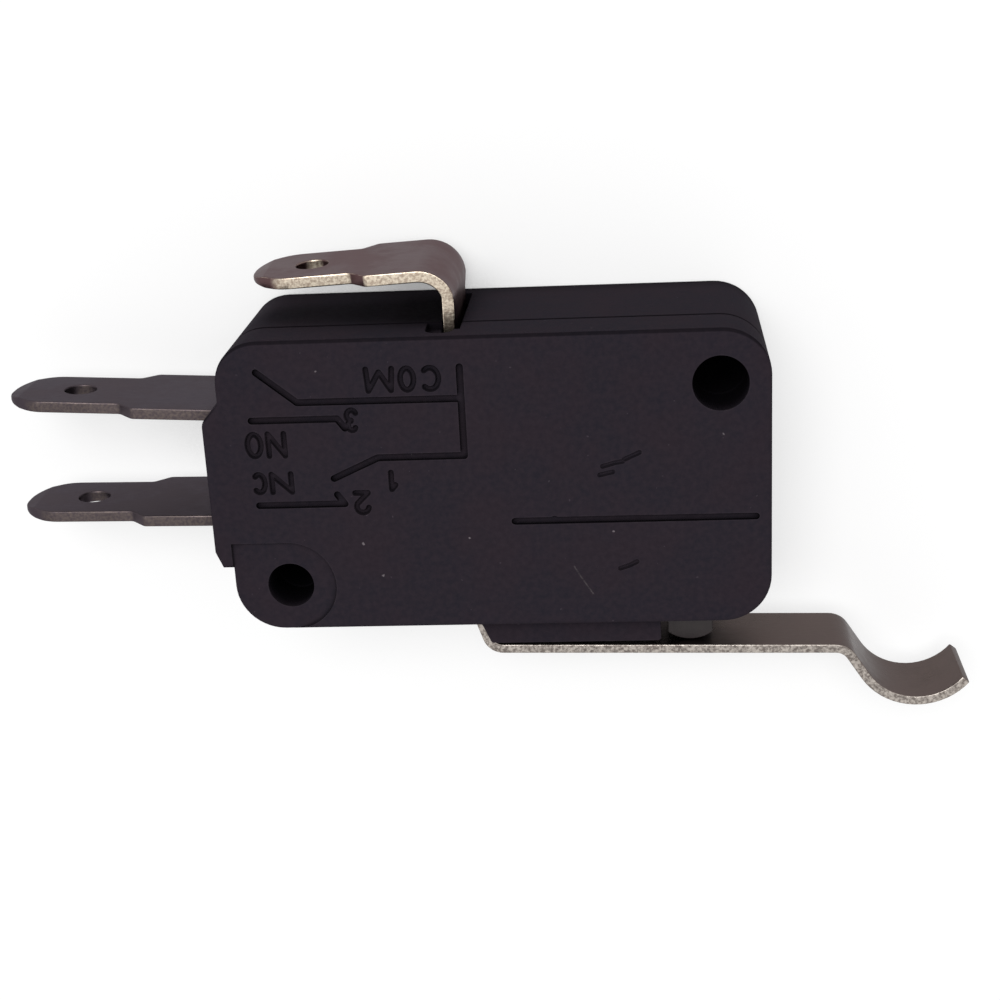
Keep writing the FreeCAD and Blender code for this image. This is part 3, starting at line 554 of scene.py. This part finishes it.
letter_strokes = {
    "C": [arc_points((0.5, 0.5), (0.5, 0.5), 50, 310, 16)],
    "O": [arc_points((0.5, 0.5), (0.5, 0.5), 0, 360, 24)],
    "M": [[(0, 0), (0.06, 1), (0.5, 0.15), (0.94, 1), (1, 0)]],
    "N": [[(0, 0), (0, 1), (1, 0), (1, 1)]],
    "1": [[(0.2, 0.75), (0.6, 1), (0.6, 0)]],
    "2": [arc_points((0.5, 0.7), (0.45, 0.3), 170, -30, 10) + [(0.05, 0), (1, 0)]],
    "3": [arc_points((0.45, 0.75), (0.4, 0.25), 150, -80, 10)
          + arc_points((0.45, 0.27), (0.5, 0.27), 80, -150, 10)],
}

# Each mark on the front face: the letter, then the box that holds it, lowest and highest X and Y
front_marks = [
    ("C", 13.69, 14.85, -1.36, 0.05), ("O", 14.93, 15.9, -1.36, 0.05), ("M", 16.0, 17.6, -1.36, 0.05),
    ("N", 21.68, 22.8, 1.86, 3.32), ("O", 22.88, 23.87, 1.86, 3.32),
    ("N", 21.5, 22.8, 4.0, 5.26), ("C", 22.86, 23.75, 4.0, 5.26),
    ("3", 17.95, 18.75, 0.72, 2.08), ("2", 17.6, 18.6, 5.1, 6.47), ("1", 16.1, 16.9, 4.05, 5.25),
]


def mark_strokes():
    """The strokes of all marks as lists of points on the front face."""
    pen = mark_section[-2][0]
    for letter, left, right, low, high in front_marks:
        wide, tall = right - left - 2 * pen, high - low - 2 * pen
        for stroke in letter_strokes[letter]:
            yield [Vector((left + pen + x * wide, low + pen + y * tall, front_z)) for x, y in stroke]


def smooth_runs(points):
    """Cuts a stroke at its sharp corners, so that each run can be swept cleanly."""
    run = [points[0]]
    for index in range(1, len(points) - 1):
        run.append(points[index])
        before = points[index] - points[index - 1]
        after = points[index + 1] - points[index]
        if before.angle(after) > corner_turn:
            yield run
            run = [points[index]]
    yield run + [points[-1]]


def swept_cutter(points, profile):
    """A closed cutter swept along a level run of points. The profile is half the groove's section, from
    its lowest point outwards, as distances to the side and up; the ends are round."""
    shape = bmesh.new()
    section = [(-side, up) for side, up in reversed(profile[1:])] + list(profile)
    last = len(points) - 1
    along = [(points[min(k + 1, last)] - points[max(k - 1, 0)]).normalized() for k in range(last + 1)]
    stations = [(points[0], along[0], -nose) for nose in end_turns]
    stations += [(place, heading, 0) for place, heading in zip(points, along)]
    stations += [(points[-1], along[-1], nose) for nose in reversed(end_turns)]
    rings = []
    for place, heading, nose in stations:
        across = Vector((-heading.y, heading.x, 0))
        swing = across * math.cos(math.radians(nose)), heading * math.sin(math.radians(nose))
        rings.append([shape.verts.new(place + swing[0] * side + swing[1] * abs(side) + Vector((0, 0, up)))
                      for side, up in section])
    sides = len(section)
    for first, second in zip(rings, rings[1:]):
        for k in range(sides):
            after = (k + 1) % sides
            shape.faces.new((first[k], first[after], second[after], second[k]))
    for ring in (rings[0], rings[-1]):
        middle = ring[sides // 2]
        half = sides // 2
        for k in range(half):
            quad = [ring[k], ring[k + 1], ring[sides - 2 - k], ring[sides - 1 - k]]
            shape.faces.new(list(dict.fromkeys(quad)))
    bmesh.ops.remove_doubles(shape, verts=shape.verts, dist=1e-5)
    bmesh.ops.recalc_face_normals(shape, faces=shape.faces)
    return shape


def carve(made, cutters):
    """Takes every cutter out of a piece in one cut, and removes the cutters."""
    group = bpy.data.collections.new("cutters")
    bpy.context.scene.collection.children.link(group)
    for shape in cutters:
        mesh = bpy.data.meshes.new("cutter")
        shape.to_mesh(mesh)
        shape.free()
        group.objects.link(bpy.data.objects.new("cutter", mesh))
    cut = made.modifiers.new("carve", "BOOLEAN")
    cut.operation = "DIFFERENCE"
    cut.solver = "EXACT"
    cut.operand_type = "COLLECTION"
    cut.collection = group
    settle(made)
    for tool in list(group.objects):
        bpy.data.objects.remove(tool)
    bpy.data.collections.remove(group)


def make_cover():
    """Cover with the terminal marks, dents and scratches cut into its front face."""
    shape = merged_copy("cover")
    mark_edges(shape, moulded_edge, moulded=True)
    made = new_object("cover_moulding", shape, moulding)
    made.data.materials.append(scuffed_moulding)
    cutters = [swept_cutter(run, mark_section) for stroke in mark_strokes() for run in smooth_runs(stroke)]
    for paths, section, surface in ((dents, dent_section, 0), (scratches, scratch_section, 1)):
        for path in paths:
            cutter = swept_cutter([Vector((*point, front_z)) for point in path], section)
            for face in cutter.faces:
                face.material_index = surface
            cutters.append(cutter)
    carve(made, cutters)
    soften(made)
    stand_for(made, "cover", "housing")
    return made


def make_common_tab():
    """Common terminal, its stem drawn into the bend without a step."""
    shape = merged_copy("common_terminal")
    for corner in shape.verts:
        on_run = stem_run[0] < corner.co.y < stem_run[1]
        if on_run and stem_x[0] - stem_step < corner.co.x < stem_x[1] + stem_step:
            corner.co.x = min(stem_x, key=lambda face_x: abs(face_x - corner.co.x))
            corner.co.z = min(stem_z, key=lambda end_z: abs(end_z - corner.co.z))
    bmesh.ops.remove_doubles(shape, verts=shape.verts, dist=stem_join)
    bmesh.ops.dissolve_degenerate(shape, edges=shape.edges, dist=stem_sliver)
    join_flats(shape)
    mark_edges(shape, stamped_edge)
    made = new_object("common_tab_plated", shape, common_brass)
    soften(made)
    stand_for(made, "common_terminal", "housing")
    return made


def make_spring_tree():
    """Geometry nodes: a closed winding with a straight hook at each end, along its own Z."""
    tree = bpy.data.node_groups.new("wound_spring", "GeometryNodeTree")
    for label, kind in (("Coil Radius", "Float"), ("Wire Radius", "Float"), ("Turns", "Float"),
                        ("Coil Length", "Float"), ("Hook Length", "Float")):
        tree.interface.new_socket(label, in_out="INPUT", socket_type="NodeSocket" + kind)
    tree.interface.new_socket("Metal", in_out="INPUT", socket_type="NodeSocketMaterial")
    tree.interface.new_socket("Geometry", in_out="OUTPUT", socket_type="NodeSocketGeometry")
    given, out = add(tree, "NodeGroupInput"), add(tree, "NodeGroupOutput")
    winding = add(tree, "GeometryNodeCurveSpiral")
    winding.inputs["Resolution"].default_value = 24
    for socket, label in (("Rotations", "Turns"), ("Start Radius", "Coil Radius"),
                          ("End Radius", "Coil Radius"), ("Height", "Coil Length")):
        tree.links.new(given.outputs[label], winding.inputs[socket])
    raised = add(tree, "GeometryNodeTransform")
    tree.links.new(winding.outputs["Curve"], raised.inputs["Geometry"])
    lift = add(tree, "ShaderNodeCombineXYZ")
    tree.links.new(given.outputs["Hook Length"], lift.inputs["Z"])
    tree.links.new(lift.outputs["Vector"], raised.inputs["Translation"])
    round_wire = add(tree, "GeometryNodeCurvePrimitiveCircle")
    round_wire.inputs["Resolution"].default_value = 10
    tree.links.new(given.outputs["Wire Radius"], round_wire.inputs["Radius"])
    swept = add(tree, "GeometryNodeCurveToMesh")
    swept.inputs["Fill Caps"].default_value = True
    joined = add(tree, "GeometryNodeJoinGeometry")
    for end in (0, 1):
        hook = add(tree, "GeometryNodeCurvePrimitiveLine")
        far = add(tree, "ShaderNodeCombineXYZ")
        near = add(tree, "ShaderNodeCombineXYZ")
        if end:
            top = maths(tree, "ADD", given.outputs["Hook Length"], given.outputs["Coil Length"])
            tree.links.new(top, near.inputs["Z"])
            tree.links.new(maths(tree, "ADD", top, given.outputs["Hook Length"]), far.inputs["Z"])
        else:
            tree.links.new(given.outputs["Hook Length"], near.inputs["Z"])
        tree.links.new(near.outputs["Vector"], hook.inputs["Start"])
        tree.links.new(far.outputs["Vector"], hook.inputs["End"])
        tree.links.new(hook.outputs["Curve"], joined.inputs["Geometry"])
        arm = add(tree, "GeometryNodeCurvePrimitiveLine")
        side = add(tree, "ShaderNodeCombineXYZ")
        tree.links.new(given.outputs["Coil Radius"], side.inputs["X"])
        tree.links.new(near.inputs["Z"].links[0].from_socket, side.inputs["Z"])
        tree.links.new(near.outputs["Vector"], arm.inputs["Start"])
        tree.links.new(side.outputs["Vector"], arm.inputs["End"])
        tree.links.new(arm.outputs["Curve"], joined.inputs["Geometry"])
    tree.links.new(raised.outputs["Geometry"], joined.inputs["Geometry"])
    tree.links.new(joined.outputs["Geometry"], swept.inputs["Curve"])
    tree.links.new(round_wire.outputs["Curve"], swept.inputs["Profile Curve"])
    plain = add(tree, "GeometryNodeRealizeInstances")
    tree.links.new(swept.outputs["Mesh"], plain.inputs["Geometry"])
    finish = add(tree, "GeometryNodeSetMaterial")
    tree.links.new(plain.outputs["Geometry"], finish.inputs["Geometry"])
    tree.links.new(given.outputs["Metal"], finish.inputs["Material"])
    tree.links.new(finish.outputs["Geometry"], out.inputs["Geometry"])
    return tree


def make_spring():
    """The wound snap spring between the rocker's tongue and the contact arm."""
    left, right = Vector(spring_left), Vector(spring_right)
    span = right - left
    tree = make_spring_tree()
    maker = bpy.data.objects.new("spring_maker", bpy.data.meshes.new("spring_maker"))
    bpy.context.scene.collection.objects.link(maker)
    winding = maker.modifiers.new("winding", "NODES")
    winding.node_group = tree
    sizes = {"Coil Radius": spring_radius * MM, "Wire Radius": spring_wire * MM, "Turns": float(spring_turns),
             "Coil Length": (span.length - 2 * spring_hook) * MM, "Hook Length": spring_hook * MM,
             "Metal": spring_steel}
    for item in tree.interface.items_tree:
        if item.in_out == "INPUT":
            winding[item.identifier] = sizes[item.name]
    bpy.context.view_layer.update()
    mesh = bpy.data.meshes.new_from_object(maker.evaluated_get(bpy.context.evaluated_depsgraph_get()))
    bpy.data.objects.remove(maker)
    turn = span.to_track_quat("Z", "Y").to_matrix().to_4x4()
    mesh.transform(Matrix.Translation(left * MM) @ turn)
    mesh.name = "snap_spring_winding"
    for face in mesh.polygons:
        face.use_smooth = True
    made = bpy.data.objects.new("snap_spring_winding", mesh)
    bpy.context.scene.collection.objects.link(made)
    stand_for(made, "snap_spring", "switch_blade")
    return made


dress("case", "case_moulding", "housing", moulding, moulded_edge, moulded=True)
make_cover()
dress("plunger", "push_button", "button", button_nylon, moulded_edge)
dress("lever", "lever_strip", "lever_arm", lever_steel, stamped_edge)
make_common_tab()
dress("normally_open_terminal", "normally_open_tab_plated", "housing", end_tab_brass,
      stamped_edge)
dress("normally_closed_terminal", "normally_closed_tab_plated", "housing", end_tab_brass,
      stamped_edge)
dress("rocker", "rocker_plate_plated", "rocker_plate", lever_steel, fine_edge)
dress("contact_arm", "contact_arm_blade", "switch_blade", spring_copper, fine_edge)
dress("moving_contact", "moving_contact_rivet", "switch_blade", silver, fine_edge)
dress("normally_open_contact", "normally_open_contact_rivet", "housing", silver, fine_edge)
dress("normally_closed_contact", "normally_closed_contact_rivet", "housing", silver, fine_edge)
make_spring()


# Floor, light and camera

floor_reach = 3.0
floor_gap = 0.02 * MM


def make_floor():
    """A plain level sheet just below the housing's back face."""
    shape = bmesh.new()
    bmesh.ops.create_grid(shape, x_segments=1, y_segments=1, size=floor_reach,
                          matrix=Matrix.Translation((0, 0, -floor_gap)))
    floor = new_object("studio_floor", shape, make_floor_material())


def make_world():
    world = bpy.data.worlds.new("studio_world")
    bpy.context.scene.world = world
    world.use_nodes = True
    tree = world.node_tree
    back = tree.nodes["Background"]
    rays = add(tree, "ShaderNodeLightPath")
    seen = maths(tree, "MAXIMUM", rays.outputs["Is Camera Ray"], rays.outputs["Is Glossy Ray"])
    seen = maths(tree, "MAXIMUM", seen, rays.outputs["Is Transmission Ray"])
    feed(tree, ramp(tree, seen, 0, 1, 0.6, 1.0), back.inputs["Strength"])
    back.inputs["Color"].default_value = (1, 1, 1, 1)


def make_key_light():
    """Wide soft light from in front of the face, leaning a little to the common terminal's side."""
    lamp = bpy.data.lights.new("key_light", "SUN")
    lamp.angle = math.radians(35)
    lamp.energy = 1.6
    made = bpy.data.objects.new("key_light", lamp)
    bpy.context.scene.collection.objects.link(made)
    made.rotation_mode = "QUATERNION"
    made.rotation_quaternion = Vector((0.12, -0.35, 0.93)).to_track_quat("Z", "Y")


def make_camera():
    data = bpy.data.cameras.new("photo_camera")
    data.lens = camera_lens
    data.sensor_width = 36.0
    data.clip_start = 0.001
    data.clip_end = 20.0
    camera = bpy.data.objects.new("photo_camera", data)
    bpy.context.scene.collection.objects.link(camera)
    turn = Matrix((camera_right, camera_up, camera_back)).transposed().to_4x4()
    camera.matrix_world = Matrix.Translation(camera_place) @ turn
    bpy.context.scene.camera = camera


make_floor()
make_world()
make_key_light()
make_camera()
bpy.context.scene.view_settings.view_transform = "Standard"
bpy.context.view_layer.update()
